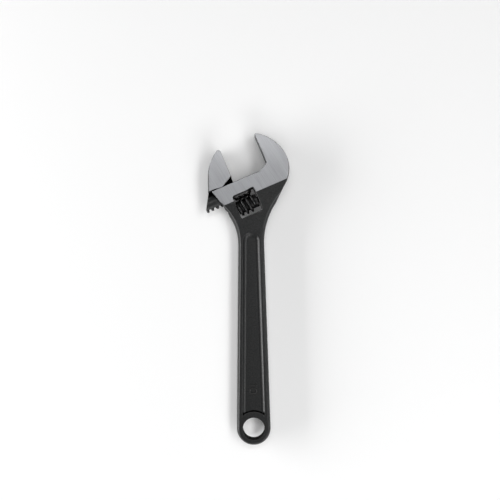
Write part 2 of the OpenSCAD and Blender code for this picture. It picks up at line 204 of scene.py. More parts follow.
END_R = END_W / 2
TIP_Y = 254.0 - END_R
NECK_Y = TIP_Y - HEAD_LEN
TURN = math.radians(HEAD_ANGLE)
CORNER = np.array([CORNER_X, TIP_Y - JAW_LEN * math.cos(TURN)])
ALONG = np.array([math.cos(TURN), math.sin(TURN)])
ACROSS = np.array([-math.sin(TURN), math.cos(TURN)])
BORE_END = RAIL_TAIL - CLOSED_GAP + BORE_CLEAR
SLOT_END = TONGUE_TAIL - CLOSED_GAP + BORE_CLEAR
RACK_FLOOR = RAIL_DEPTH + RAIL_D / 2 - TOOTH_H
WORM_DEPTH = RACK_FLOOR + MESH_CLEAR + WORM_D / 2
WORM_ROOT_R = WORM_D / 2 - THREAD_H
WINDOW_BOTTOM = WORM_DEPTH + WORM_D / 2 + WINDOW_CLEAR
WINDOW_LEFT = -WINDOW_BACK - WINDOW_W
WORM_LEFT = WINDOW_LEFT + WORM_GAP
WORM_LEN = WINDOW_W - 2 * WORM_GAP
CREST_U = WINDOW_LEFT + FIRST_CREST
LEAD_ANGLE = math.atan(PITCH / (math.pi * (WORM_D - THREAD_H)))
PIN_SHOULDER = WINDOW_LEFT - SHOULDER_T
PIN_END = -WINDOW_BACK + PIN_REACH
POCKET_R = PIN_D / 2 + 2 * SPRING_CLEAR + WIRE_D
COIL_R = PIN_D / 2 + SPRING_CLEAR + WIRE_D / 2


def compass(degrees):
    """Unit vector in a direction given in degrees from +X."""
    return np.array([math.cos(math.radians(degrees)), math.sin(math.radians(degrees))])


def head_point(u, v):
    """A place in the wrench's plane from the head's own directions u and v."""
    return CORNER + u * ALONG + v * ACROSS


def bearing(centre, point):
    """Direction in degrees in which point lies, seen from centre."""
    return math.degrees(math.atan2(point[1] - centre[1], point[0] - centre[0]))


def arc(centre, radius, start, end, step=1.0):
    """Points along an arc, no more than step apart."""
    count = max(2, math.ceil(abs(math.radians(end - start)) * radius / step))
    return [centre + radius * compass(start + (end - start) * i / count) for i in range(count + 1)]


def hollow_radius(point, direction, end, straight):
    """Radius of a hollow that leaves point square to direction and ends in a straight run to end."""
    way = end - point
    return (way @ way - straight * straight) / (2 * way @ direction)


TAPER = math.degrees(
    math.asin(END_R / math.hypot(NECK_W / 2, NECK_Y)) - math.atan2(NECK_W / 2, NECK_Y)
)
FACE_TIP = head_point(0, JAW_LEN)
BACK_TIP = FACE_TIP + np.array([JAW_TIP_W, 0])
BACK_LOW_C = head_point(JAW_W - BACK_LOW_R, BACK_RISE)
TIP_REACH = (BACK_TIP - BACK_LOW_C) @ compass(BACK_BLEND_ANGLE)
BACK_HIGH_R = (
    (BACK_TIP - BACK_LOW_C) @ (BACK_TIP - BACK_LOW_C) - BACK_LOW_R * (2 * TIP_REACH - BACK_LOW_R)
) / (2 * (BACK_LOW_R - TIP_REACH))
BACK_HIGH_C = BACK_LOW_C - (BACK_HIGH_R - BACK_LOW_R) * compass(BACK_BLEND_ANGLE)
BACK_START = BACK_LOW_C + BACK_LOW_R * compass(BACK_START_ANGLE)
LEFT_END = head_point(LEFT_END_BACK - SHELF_LEN, -LEFT_END_DROP)
RIGHT_NECK = np.array([NECK_W / 2, NECK_Y])
LEFT_NECK = np.array([-NECK_W / 2, NECK_Y])
RIGHT_OUT = compass(TAPER)
LEFT_OUT = compass(180 - TAPER)
RIGHT_FLANK_R = hollow_radius(RIGHT_NECK, RIGHT_OUT, BACK_START, RIGHT_FLANK_STRAIGHT)
LEFT_FLANK_R = hollow_radius(LEFT_NECK, LEFT_OUT, LEFT_END, LEFT_FLANK_STRAIGHT)
RIGHT_FLANK_C = RIGHT_NECK + RIGHT_FLANK_R * RIGHT_OUT
LEFT_FLANK_C = LEFT_NECK + LEFT_FLANK_R * LEFT_OUT


def flank_meeting(centre, radius, end, side):
    """Direction, from a flank's centre, in which its straight run to end crosses its hollow."""
    inner = radius - FLANK_SPARE
    reach = np.linalg.norm(end - centre)
    touch = bearing(centre, end) + side * math.degrees(math.acos(inner / reach))
    return touch - side * math.degrees(math.acos(inner / radius))


def body_outline():
    """Outline of the handle and head together, anticlockwise from the middle of the round end."""
    right_foot = flank_meeting(RIGHT_FLANK_C, RIGHT_FLANK_R, BACK_START, 1)
    left_foot = flank_meeting(LEFT_FLANK_C, LEFT_FLANK_R, LEFT_END, -1)
    points = arc(np.zeros(2), END_R, -90, TAPER)
    points += arc(RIGHT_FLANK_C, RIGHT_FLANK_R, 180 + TAPER, right_foot)
    points += arc(BACK_LOW_C, BACK_LOW_R, BACK_START_ANGLE, BACK_BLEND_ANGLE)
    points += arc(BACK_HIGH_C, BACK_HIGH_R, BACK_BLEND_ANGLE, bearing(BACK_HIGH_C, BACK_TIP))
    points += [FACE_TIP + np.array([TIP_BEVEL, 0]), head_point(0, JAW_LEN - TIP_BEVEL)]
    points += [head_point(0, RAMP_H), head_point(-RAMP_LEN, 0), head_point(-SHELF_LEN, 0), LEFT_END]
    points += arc(LEFT_FLANK_C, LEFT_FLANK_R, left_foot, -TAPER)
    points += arc(np.zeros(2), END_R, 180 - TAPER, 270)
    return np.array(points)


def hook_outline():
    """Outline of the sliding jaw's hook, clear of the shelf."""
    root = head_point(-OPENING - HOOK_W, SHELF_CLEAR)
    centre = root + np.array([HOOK_R, HOOK_STRAIGHT])
    tip = head_point(-OPENING, HOOK_LEN)
    tip_x = centre[0] - math.sqrt(HOOK_R ** 2 - (tip[1] - centre[1]) ** 2)
    start = bearing(centre, np.array([tip_x, tip[1]])) % 360
    points = [head_point(-OPENING, RELIEF_H), head_point(-OPENING, HOOK_LEN - TIP_BEVEL)]
    points += [np.array([max(tip[0] - TIP_BEVEL, tip_x + 0.01), tip[1]])]
    points += arc(centre, HOOK_R, start, 180)
    points += [root, head_point(-OPENING - RELIEF_LEN, SHELF_CLEAR)]
    return np.array(points)


def window_outline():
    """Outline of the worm's window in u and v, with its side towards the fixed jaw bowed out."""
    height = WINDOW_BOTTOM - WINDOW_TOP
    radius = (height * height / 4 + WINDOW_BOW ** 2) / (2 * WINDOW_BOW)
    half = math.degrees(math.asin(height / 2 / radius))
    centre = np.array([-WINDOW_BACK + WINDOW_BOW - radius, -(WINDOW_TOP + WINDOW_BOTTOM) / 2])
    points = arc(centre, radius, BOW_TRIM - half, half - BOW_TRIM)
    for right, up, corner_r, start in WINDOW_CORNERS:
        side = -WINDOW_BACK + 0.05 if right > 0 else WINDOW_LEFT
        level = -WINDOW_TOP if up > 0 else -WINDOW_BOTTOM
        middle = np.array([side - right * corner_r, level - up * corner_r])
        points += arc(middle, corner_r, start, start + 90, 0.2)
    return np.array(points)


# ---- distance fields: negative inside, in millimetres ----


def polygon_distance(x, y, outline):
    """Distance from each place to a closed outline."""
    best = np.full(x.shape, 1e9)
    inside = np.zeros(x.shape, bool)
    for (ax, ay), (bx, by) in zip(outline, np.roll(outline, -1, 0)):
        dx, dy = bx - ax, by - ay
        size = dx * dx + dy * dy
        if size < 1e-12:
            continue
        t = np.clip(((x - ax) * dx + (y - ay) * dy) / size, 0, 1)
        best = np.minimum(best, (x - ax - t * dx) ** 2 + (y - ay - t * dy) ** 2)
        if dy:
            crossed = ((ay > y) != (by > y)) & (x < dx * (y - ay) / dy + ax)
            inside ^= crossed
    return np.where(inside, -1, 1) * np.sqrt(best)


def both(a, b, round_r):
    """What a and b share, with the edge between them rounded."""
    corner = np.hypot(np.maximum(a + round_r, 0), np.maximum(b + round_r, 0))
    return np.minimum(-round_r, np.maximum(a, b)) + corner


def less(a, b, round_r):
    """a with b taken away, with the edge rounded."""
    return both(a, -b, round_r)


def either(a, b, fillet_r):
    """a and b joined, with a fillet between them."""
    return -both(-a, -b, fillet_r)


def soft_max(a, b, width):
    """The larger of two heights, with the crease between them smoothed."""
    mix = np.maximum(width - np.abs(a - b), 0) / width
    return np.maximum(a, b) + mix * mix * width / 4


def ease(value, low, high):
    """Smooth step from 0 at low to 1 at high."""
    t = np.clip((value - low) / (high - low), 0, 1)
    return t * t * (3 - 2 * t)


def side_distance(x, y, out, neck, centre, radius):
    """Distance to one side of the wrench: the round end, the straight handle, then the hollow flank."""
    tangent = np.array([-abs(out[1]) * math.copysign(1, out[0]), abs(out[0])])
    past_neck = (x - neck[0]) * tangent[0] + (y - neck[1]) * tangent[1] > 0
    past_end = x * tangent[0] + y * tangent[1] > 0
    straight = x * out[0] + y * out[1] - END_R
    hollow = radius - np.hypot(x - centre[0], y - centre[1])
    return np.where(past_neck, hollow, np.where(past_end, straight, np.hypot(x, y) - END_R))


def wrench_plane(u, v):
    """x and y of the whole wrench from u and v."""
    return CORNER[0] + u * ALONG[0] + v * ACROSS[0], CORNER[1] + u * ALONG[1] + v * ACROSS[1]


def recess_distance(x, y, height):
    """The recess in a face of the handle, where height is the distance from the wrench's mid-plane."""
    rim_z = NECK_T / 2
    depth = rim_z - PANEL_T / 2
    top_y = NECK_Y + RECESS_TOP_RISE
    top_r = END_R - top_y * math.sin(math.radians(TAPER)) - RECESS_RAIL_W
    reach = np.hypot(x, y - top_y)
    right = np.abs(x) * RIGHT_OUT[0] + (y - top_y) * RIGHT_OUT[1]
    above = (y - top_y) * RIGHT_OUT[0] - np.abs(x) * RIGHT_OUT[1] > 0
    rim = np.where(above, reach, right) - top_r
    # the recess runs out in a gentle ramp at its round top
    runout = ease((y - top_y) / np.maximum(reach, 0.1), 0.5, 1.0)
    lean = (RECESS_WALL_LEAN + (RECESS_TOP_LEAN - RECESS_WALL_LEAN) * runout) / depth
    wall = (rim + lean * (rim_z - height)) / np.hypot(1, lean)
    boss_lean = BOSS_LEAN / depth
    boss = (BOSS_R + boss_lean * (rim_z - height) - np.hypot(x, y)) / math.hypot(1, boss_lean)
    floor = PANEL_T / 2 - height
    pocket = np.maximum(both(wall, floor, RECESS_FILLET), both(boss, floor, BOSS_FILLET))
    return np.maximum(pocket, -y)


def nosed_rod(radius, along, rod_r, end, round_r):
    """A rod with the bevel of the rail's nose at its right end."""
    nose = (radius - rod_r + along - end + RAIL_NOSE) / math.sqrt(2)
    return both(both(radius - rod_r, nose, round_r), along - end, round_r)


def body_field(u, v, z):
    """The forged body: handle, head and fixed jaw with their recesses, window, bores and slot."""
    sizes = bpy.context.scene.wrench_body
    x, y = wrench_plane(u, v)
    height = np.abs(z)
    outline = polygon_distance(x, y, body_outline())
    right = side_distance(x, y, RIGHT_OUT, RIGHT_NECK, RIGHT_FLANK_C, RIGHT_FLANK_R)
    left = side_distance(x, y, LEFT_OUT, LEFT_NECK, LEFT_FLANK_C, LEFT_FLANK_R)
    depth = -np.maximum(right, left)
    strip = SIDE_STRIP_H / 2
    low_slope = (NECK_T / 2 - strip) / SIDE_SLOPE_W
    high_slope = (HEAD_T / 2 - NECK_T / 2) / SIDE_SLOPE_GAIN
    low = (height - strip - low_slope * depth) / math.hypot(1, low_slope)
    high = (height - NECK_T / 2 - high_slope * (depth - SIDE_SLOPE_W)) / math.hypot(1, high_slope)
    slopes = either(low, high, SLOPE_BLEND)
    thickness = np.interp(y, [BOSS_R, NECK_Y], [END_T / 2, NECK_T / 2])
    ramp = HEAD_T / 2 - np.maximum(-FLAT_H - v, 0) * math.tan(math.radians(FACE_SLOPE))
    face = height - soft_max(thickness, ramp, FACE_BLEND)
    edge = sizes.edge_round / MM
    ground = sizes.ground_round / MM
    # the ground faces keep crisp edges at the shelf and the tip; the back grows rounder downwards
    back = ease(u, 5, 9) * ease(-y, -232, -210)
    handle = HANDLE_ROUND_SHARE * ease(-v, FLAT_H - 1, FLAT_H + 3)
    round_r = ground + (edge - ground) * np.maximum(back, handle)
    shape = both(outline, slopes, SIDE_ROUND)
    shape = both(shape, face, round_r)
    shape = both(shape, HOLE_D / 2 - np.hypot(x, y), sizes.hole_round / MM)
    shape = less(shape, recess_distance(x, y, height), RECESS_ROUND)
    # the window's edge is rounder on its right
    window = polygon_distance(u, v, window_outline())
    shape = less(shape, window, WINDOW_ROUND + WINDOW_ROUND_GAIN * ease(u, -25, -20))
    # the rail's bore, the slot over it and the pin's holes
    bore = nosed_rod(np.hypot(v + RAIL_DEPTH, height), u, RAIL_D / 2 + RAIL_CLEAR, BORE_END, 0.3)
    slot = np.maximum(height - WEB_T / 2 - SLOT_CLEAR, -RAIL_DEPTH - v)
    closed = np.maximum(np.maximum(slot, v - TONGUE_CLEAR + TONGUE_DROP), u - SLOT_END)
    opened = np.maximum(slot, u)
    way = np.minimum(bore, np.minimum(closed, opened))
    shape = less(shape, way, SMALL_BLEND)
    off_axis = np.hypot(v + WORM_DEPTH, height)
    shank = np.maximum(off_axis - PIN_D / 2 - PIN_HOLE_CLEAR, u - PIN_END - 0.8)
    head = np.maximum(off_axis - PIN_HEAD_D / 2 - PIN_HOLE_CLEAR, u - PIN_SHOULDER)
    return less(shape, np.minimum(shank, head), SMALL_BLEND)


def jaw_field(u, v, z):
    """The sliding jaw: hook, web, tongue and round toothed rail."""
    sizes = bpy.context.scene.wrench_jaw
    x, y = wrench_plane(u, v)
    height = np.abs(z)
    edge = sizes.edge_round / MM
    ground = sizes.ground_round / MM
    outline = polygon_distance(x, y, hook_outline())
    # the ground faces keep crisp edges, which grow rounder down the hook's back
    back = ease(-x, 24, 30) * ease(-y, -222, -200)
    hook = both(outline, height - HEAD_T / 2, ground + (edge - ground) * back)
    face_u = -OPENING - WEB_SETBACK
    tongue_u = TONGUE_TAIL - OPENING
    rail_u = RAIL_TAIL - OPENING
    web_outline = np.array([
        [face_u, RELIEF_H + 2], [face_u, -TONGUE_DROP], [tongue_u, -TONGUE_DROP],
        [tongue_u, -RAIL_DEPTH], [-WEB_PAST, -RAIL_DEPTH], [-WEB_PAST, SHELF_CLEAR],
        [-OPENING - RELIEF_LEN, SHELF_CLEAR + RELIEF_H],
    ])
    plate = polygon_distance(u, v, web_outline)
    # the hollow fillet between the web's face and the tongue
    from_u = face_u + WEB_FILLET - u
    from_v = WEB_FILLET - TONGUE_DROP - v
    hollow = WEB_FILLET - np.hypot(from_u, from_v)
    near = (np.minimum(from_u, from_v) > 0) & (np.maximum(from_u, from_v) < WEB_FILLET + 1)
    plate = np.where(near, np.maximum(hollow, -1), plate)
    web = both(plate, height - WEB_T / 2, WEB_ROUND)
    rail = nosed_rod(np.hypot(v + RAIL_DEPTH, height), u, RAIL_D / 2, rail_u, RAIL_ROUND)
    root = head_point(-OPENING - HOOK_W, SHELF_CLEAR)
    lean = math.radians(RAIL_END_LEAN)
    # the leaning plane that ends the rail, and the upright one over the hook's root
    end = (x - root[0]) * -math.cos(lean) + (y - root[1]) * math.sin(lean)
    end = np.maximum(end, np.where(y > root[1], root[0] - x, -9))
    rail = either(rail, web, RAIL_WEB_BLEND)
    rail = both(rail, end, RAIL_END_ROUND)
    # a small fillet here, so that it clears the edges of the body's slot
    shape = either(hook, rail, ROOT_BLEND)
    # the gaps between the rack's teeth, slanted by the worm's lead
    first = CREST_U + PITCH / 2
    low = math.ceil((-OPENING - HOOK_W - RAIL_D - first) / PITCH)
    high = math.ceil((rail_u - first) / PITCH)
    slant = (ROOT_W - TIP_W) / 2 / TOOTH_H
    half = (PITCH - ROOT_W) / 2
    for i in range(low, high + 1):
        centre = first + i * PITCH
        across = (u - centre) * math.cos(LEAD_ANGLE) - z * math.sin(LEAD_ANGLE)
        under = v + RACK_FLOOR
        gap = (np.abs(across) - half + slant * under) / math.hypot(1, slant)
        gap = both(gap, under, TOOTH_ROOT_ROUND)
        shape = less(shape, gap, TOOTH_ROUND)
    return shape


# ---- where shade is painted black, from 0 to 1 ----


def body_painted_shade(u, v, z, normals):
    """Painted shade: in the hang hole, on the steep step round it, and inside the window and bore."""
    x, y = wrench_plane(u, v)
    height = np.abs(z)
    reach = np.hypot(x, y)
    hole = ease(HOLE_D / 2 + 0.35 - reach, 0, 0.25)
    leans = ease(0.95 - np.abs(normals[:, 2]), 0, 0.1)
    below_face = ease(END_T / 2 - height, 0.05, 0.3)
    in_ring = ease(BOSS_R + BOSS_LEAN + 1 - reach, 0, 0.3) * ease(reach - BOSS_R + 0.6, 0, 0.3)
    in_recess = ease(y, 8, 10) * (np.abs(x) < END_R - 3)
    step = leans * below_face * in_recess * in_ring
    in_window = ease(-polygon_distance(u, v, window_outline()), -0.8, 0)
    in_bore = np.abs(v + RAIL_DEPTH) < RAIL_D / 2 + 1
    under_face = ease(HEAD_T / 2 - height, 1.0, 3.0)
    deep = leans * under_face * np.clip(in_window + in_bore, 0, 1)
    return np.maximum(np.maximum(hole, step), deep * (u > WINDOW_LEFT - 2) * (u < 0))


def jaw_painted_shade(u, v, z, normals):
    """Painted shade: on the thin web between hook and shelf, and in the gaps between the rack's teeth.
    """
    web = ease(WEB_T / 2 - np.abs(z), -0.9, -0.2) * ease(v, -6, -2)
    web = web * ease(np.abs(normals[:, 2]), 0.4, 0.7)
    teeth = 0.8 * ease(-v - RACK_FLOOR, 0, 1.0) * (u > -OPENING - HOOK_W + 4)
    return np.maximum(web, teeth)


def no_painted_shade(u, v, z, normals):
    """No painted shade anywhere."""
    return 0 * u


# ---- meshes from the fields ----


def slope(field, points, reach=0.02):
    """Direction in which a field grows at points, and its values there."""
    here = field(*points.T)
    grown = np.stack([field(*(points + reach * axis).T) - here for axis in np.eye(3)], 1)
    return grown / np.maximum(np.linalg.norm(grown, axis=1), 1e-9)[:, None], here


def bend(field, points, reach=0.5):
    """How strongly a field's surface bends at points, per millimetre: above zero on outer edges."""
    around = sum(field(*(points + side * reach * axis).T) for axis in np.eye(3) for side in (-1, 1))
    return around / reach ** 2


def surface(field, values, start, step):
    """Points, quads and normals of the surface on which a field is zero, from its values on a grid."""
    inside = values < 0
    size = np.array(values.shape)
    cells_size = size - 1
    corners = [(i, j, k) for i in (0, 1) for j in (0, 1) for k in (0, 1)]
    total = np.zeros(cells_size, np.int8)
    for i, j, k in corners:
        total += inside[i:i + cells_size[0], j:j + cells_size[1], k:k + cells_size[2]]
    cells = np.argwhere((total > 0) & (total < 8))
    number = np.full(cells_size, -1, np.int64)
    number[tuple(cells.T)] = np.arange(len(cells))
    at_corner = {c: values[tuple((cells + np.array(c)).T)] for c in corners}
    place = np.zeros((len(cells), 3))
    hits = np.zeros(len(cells))
    for axis in range(3):
        for c in corners:
            if c[axis]:
                continue
            d = tuple(1 if i == axis else c[i] for i in range(3))
            a, b = at_corner[c], at_corner[d]
            cut = (a < 0) != (b < 0)
            t = np.where(cut, a / np.where(cut, a - b, 1), 0)
            point = np.array(c, float) + t[:, None] * np.eye(3)[axis]
            place += np.where(cut[:, None], point, 0)
            hits += cut
    points = start + (cells + place / hits[:, None]) * step
    quads = []
    for axis in range(3):
        b, c = (axis + 1) % 3, (axis + 2) % 3
        low = [slice(None)] * 3
        high = [slice(None)] * 3
        low[axis] = slice(0, -1)
        high[axis] = slice(1, None)
        at = np.argwhere(inside[tuple(low)] != inside[tuple(high)])
        at = at[(at[:, b] > 0) & (at[:, c] > 0) & (at[:, b] < size[b] - 1) & (at[:, c] < size[c] - 1)]
        back, side = np.eye(3, dtype=int)[b], np.eye(3, dtype=int)[c]
        ring = [number[tuple((at - s).T)] for s in (back + side, side, 0 * back, back)]
        ring = np.stack(ring, 1)
        outward = inside[tuple(at.T)]
        quads.append(np.where(outward[:, None], ring, ring[:, ::-1]))
    for _ in range(2):
        grown, here = slope(field, points)
        points = points - grown * here[:, None]
    return points, np.concatenate(quads), slope(field, points)[0]


def head_to_wrench(points):
    """Places in the wrench's frame from places in the head's own directions."""
    x, y = wrench_plane(points[:, 0], points[:, 1])
    return np.stack([x, y, points[:, 2]], 1)


def turn_to_wrench(normals):
    """Directions in the wrench's frame from directions in the head's own."""
    x = normals[:, 0] * ALONG[0] + normals[:, 1] * ACROSS[0]
    y = normals[:, 0] * ALONG[1] + normals[:, 1] * ACROSS[1]
    return np.stack([x, y, normals[:, 2]], 1)


def add_mesh(name, points, faces, normals=None):
    """A mesh object from points in millimetres, with its faces smooth."""
    mesh = bpy.data.meshes.new(name)
    if isinstance(faces, np.ndarray):
        mesh.vertices.add(len(points))
        mesh.vertices.foreach_set("co", (points * MM).astype(np.float32).ravel())
        mesh.loops.add(faces.size)
        mesh.loops.foreach_set("vertex_index", faces.astype(np.int32).ravel())
        mesh.polygons.add(len(faces))
        mesh.polygons.foreach_set("loop_start", np.arange(len(faces), dtype=np.int32) * faces.shape[1])
        mesh.update(calc_edges=True)
        mesh.validate()
    else:
        mesh.from_pydata([tuple(p * MM) for p in points], [], faces)
        mesh.update()
    mesh.shade_smooth()
    if normals is not None:
        mesh.normals_split_custom_set_from_vertices(normals)
    piece = bpy.data.objects.new(name, mesh)
    bpy.context.scene.collection.objects.link(piece)
    return piece


def field_mesh(name, field, painted_shade, low, high, step, mirrored, corner=(0, 0)):
    """A mesh from a field given in the head's own directions, between two places, with how strongly its
    surface bends and where shade is painted on it. Edges that pass through corner follow the mesh's
    rows."""
    low = [corner[i] + (math.floor((low[i] - corner[i]) / step) + 0.5) * step for i in (0, 1)]
    u = np.arange(low[0], high[0], step)
    v = np.arange(low[1], high[1], step)
    count = math.ceil(high[2] / step)
    z = (np.arange(2 * count + 2) - count - 0.5) * step
    plan_u, plan_v = np.meshgrid(u, v, indexing="ij")
    part = z[count + 1:] if mirrored else z
    values = field(plan_u[:, :, None], plan_v[:, :, None], part[None, None, :])
    if mirrored:
        values = np.concatenate([values[:, :, ::-1], values], 2)
    points, quads, normals = surface(field, values, np.array([u[0], v[0], z[0]]), step)
    piece = add_mesh(name, head_to_wrench(points), quads, turn_to_wrench(normals))
    for key, values in (("edge", bend(field, points)), ("painted_shade", painted_shade(*points.T, normals))):
        kept = piece.data.attributes.new(key, "FLOAT", "POINT")
        kept.data.foreach_set("value", values.astype(np.float32))
    return piece


# ---- materials ----


def linear(hex_colour):
    """Linear colour from an sRGB hex value."""
    parts = [int(hex_colour[i:i + 2], 16) / 255 for i in (1, 3, 5)]
    return tuple(c / 12.92 if c <= 0.04045 else ((c + 0.055) / 1.055) ** 2.4 for c in parts) + (1.0,)


def node(tree, kind, inputs=None, **settings):
    """Adds a node with its settings; an input is a value or another node's output."""
    made = tree.nodes.new(kind)
    for key, value in settings.items():
        setattr(made, key, value)
    for key, value in (inputs or {}).items():
        if isinstance(value, bpy.types.NodeSocket):
            tree.links.new(value, made.inputs[key])
        else:
            made.inputs[key].default_value = value
    return made


def new_material(name):
    """An empty node material and its Principled shader."""
    material = bpy.data.materials.new(name)
    material.use_nodes = True
    return material, material.node_tree, material.node_tree.nodes["Principled BSDF"]


def black_oxide(name, dark, light, grain_mm, roughness, grain_depth=0.38):
    """Forged steel, shot-blasted and blackened: a satin near-black skin with a fine grain, in which
    light catches on the rounded edges, and with painted shade that turns the hollows and deep places
    black."""
    material, tree, shader = new_material(name)
    place = node(tree, "ShaderNodeTexCoord").outputs["Object"]
    # a blasted grain of about 0.3 mm, drawn coarser so that it shows
    fine = {"Vector": place, "Scale": 1 / (grain_mm * MM), "Detail": 2.0}
    grain = node(tree, "ShaderNodeTexNoise", fine).outputs[0]
    # the bath blackens unevenly, in soft patches of about a centimetre
    patches = node(tree, "ShaderNodeTexNoise", {"Vector": place, "Scale": 1 / (9 * MM), "Detail": 3.0})
    tones = {0: patches.outputs[0], 6: linear(dark), 7: linear(light)}
    tone = node(tree, "ShaderNodeMix", tones, data_type="RGBA").outputs[2]
    # outer edges are rubbed a little greyer
    edge = node(tree, "ShaderNodeAttribute", attribute_name="edge").outputs["Fac"]
    worn = node(tree, "ShaderNodeMapRange", {"Value": edge, 1: 0.8, 2: 2.5, 3: 0.0, 4: 0.1})
    rubbed = {0: worn.outputs[0], 6: tone, 7: linear("#6b6a68")}
    tone = node(tree, "ShaderNodeMix", rubbed, data_type="RGBA").outputs[2]
    # painted shade: black where ambient occlusion finds little open sky, and where the piece's own mask
    # says
    sky = node(tree, "ShaderNodeAmbientOcclusion", {"Distance": 4 * MM}, samples=8).outputs["AO"]
    occlusion_shade = node(tree, "ShaderNodeMapRange", {"Value": sky, 1: 0.5, 2: 0.9, 3: 1.0, 4: 0.0})
    # the piece's own mask of painted shade
    kept = node(tree, "ShaderNodeAttribute", attribute_name="painted_shade").outputs["Fac"]
    painted_shade = node(tree, "ShaderNodeMath", {0: occlusion_shade.outputs[0], 1: kept}, operation="MAXIMUM").outputs[0]
    shaded_tone = node(tree, "ShaderNodeMix", {0: painted_shade, 6: tone, 7: linear("#060606")}, data_type="RGBA")
    tree.links.new(shaded_tone.outputs[2], shader.inputs["Base Color"])
    # the blackened grains reflect unevenly, and the painted shade hardly at all
    skin = node(tree, "ShaderNodeMapRange", {"Value": grain, 1: 0.3, 2: 0.7, 3: 0.0, 4: grain_depth})
    metal = node(tree, "ShaderNodeMath", {0: skin.outputs[0], 1: painted_shade}, operation="MAXIMUM")
    tree.links.new(metal.outputs[0], shader.inputs["Metallic"])
    spread = {"Value": grain, 3: roughness - 0.08, 4: roughness + 0.08}
    rough = node(tree, "ShaderNodeMapRange", spread).outputs[0]
    rough = node(tree, "ShaderNodeMix", {0: painted_shade, 2: rough, 3: 0.9})
    tree.links.new(rough.outputs[0], shader.inputs["Roughness"])
    bump = node(tree, "ShaderNodeBump", {"Height": grain, "Strength": 0.5, "Distance": 0.12 * MM})
    tree.links.new(bump.outputs[0], shader.inputs["Normal"])
    return material


def add_ground_faces(material, bright, dull, lowest_v):
    """Adds the faces that were ground bright after blackening: bare steel with the long fine scratches
    of the belt, which ends in a straight line across the head."""
    tree = material.node_tree
    oxide = tree.nodes["Principled BSDF"]
    steel = node(tree, "ShaderNodeBsdfPrincipled")
    steel.inputs["Metallic"].default_value = 1.0
    place = node(tree, "ShaderNodeTexCoord").outputs["Object"]
    belt = node(tree, "ShaderNodeMapping", {"Vector": place, "Rotation": (0, 0, math.radians(58))})
    # belt scratches of about 0.1 mm, drawn over half a millimetre wide and 22 mm long so that they show
    stretch = {0: belt.outputs[0], 1: (1 / 22, 1 / 0.55, 1 / 4)}
    thin = node(tree, "ShaderNodeVectorMath", stretch, operation="MULTIPLY").outputs[0]
    fine = node(tree, "ShaderNodeTexNoise", {"Vector": thin, "Scale": 1 / MM, "Detail": 5.0}).outputs[0]
    # broader bands left by the belt's passes
    stretch = {0: belt.outputs[0], 1: (1 / 60, 1 / 5, 1 / 30)}
    wide = node(tree, "ShaderNodeVectorMath", stretch, operation="MULTIPLY").outputs[0]
    broad = node(tree, "ShaderNodeTexNoise", {"Vector": wide, "Scale": 1 / MM, "Detail": 2.0}).outputs[0]
    scratches = node(tree, "ShaderNodeMix", {0: 0.35, 2: fine, 3: broad}).outputs[0]
    tone = node(tree, "ShaderNodeMapRange", {"Value": scratches, 1: 0.3, 2: 0.7})
    tones = {0: tone.outputs[0], 6: linear(dull), 7: linear(bright)}
    colour = node(tree, "ShaderNodeMix", tones, data_type="RGBA")
    tree.links.new(colour.outputs[2], steel.inputs["Base Color"])
    rough = node(tree, "ShaderNodeMapRange", {"Value": fine, 1: 0.3, 2: 0.7, 3: 0.28, 4: 0.38})
    tree.links.new(rough.outputs[0], steel.inputs["Roughness"])
    bump = node(tree, "ShaderNodeBump", {"Height": fine, "Strength": 0.2, "Distance": 0.05 * MM})
    tree.links.new(bump.outputs[0], steel.inputs["Normal"])
    # only what lies flush with the head's faces is ground, and only above the straight line
    parts = node(tree, "ShaderNodeSeparateXYZ", {0: place})
    height = node(tree, "ShaderNodeMath", {0: parts.outputs["Z"]}, operation="ABSOLUTE").outputs[0]
    flush = {"Value": height, 1: (HEAD_T / 2 - 0.10) * MM, 2: (HEAD_T / 2 - 0.04) * MM}
    flush = node(tree, "ShaderNodeMapRange", flush).outputs[0]
    across = {0: place, 1: (ACROSS[0], ACROSS[1], 0)}
    across = node(tree, "ShaderNodeVectorMath", across, operation="DOT_PRODUCT").outputs["Value"]
    start = (CORNER @ ACROSS + lowest_v) * MM
    above = {"Value": across, 1: start - 0.1 * MM, 2: start + 0.1 * MM}
    above = node(tree, "ShaderNodeMapRange", above).outputs[0]
    mask = node(tree, "ShaderNodeMath", {0: flush, 1: above}, operation="MULTIPLY").outputs[0]
    mix = node(tree, "ShaderNodeMixShader", {0: mask, 1: oxide.outputs[0], 2: steel.outputs[0]})
    tree.links.new(mix.outputs[0], tree.nodes["Material Output"].inputs["Surface"])
    return material


def make_materials():
    """All finishes of the wrench, by the record's material slots."""
    colours = bpy.context.scene.wrench_finish
    body = black_oxide("black_oxide_forging", colours.dark, colours.light, 1.1, 0.37)
    add_ground_faces(body, colours.bright, colours.dull, -FLAT_H)
    jaw = black_oxide("black_oxide_jaw", colours.dark, colours.light, 1.1, 0.37)
    add_ground_faces(jaw, colours.bright, colours.dull, -FLAT_H)
    black_oxide("black_oxide_worm", colours.dark, colours.dark, 0.5, 0.24, 0.2)
    black_oxide("black_oxide_pin", colours.dark, colours.light, 0.4, 0.35)
    black_oxide("spring_wire", "#5a5b5c", "#747576", 0.3, 0.3)


def finish_piece(piece, body, slot, *nodes):
    """Gives a piece its finish, its body and the solid that it stands for."""
    material = bpy.data.materials.get(FINISHES[slot])
    if material is None:
        raise RuntimeError("the finishes are made first")
    piece.data.materials.clear()
    piece.data.materials.append(material)
    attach(piece, body)
    if nodes:
        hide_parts(*nodes)
    return piece


FINISHES = {
    "forged_body": "black_oxide_forging",
    "forged_jaw": "black_oxide_jaw",
    "worm_screw": "black_oxide_worm",
    "pin_steel": "black_oxide_pin",
    "spring_wire": "spring_wire",
}


# ---- settings ----


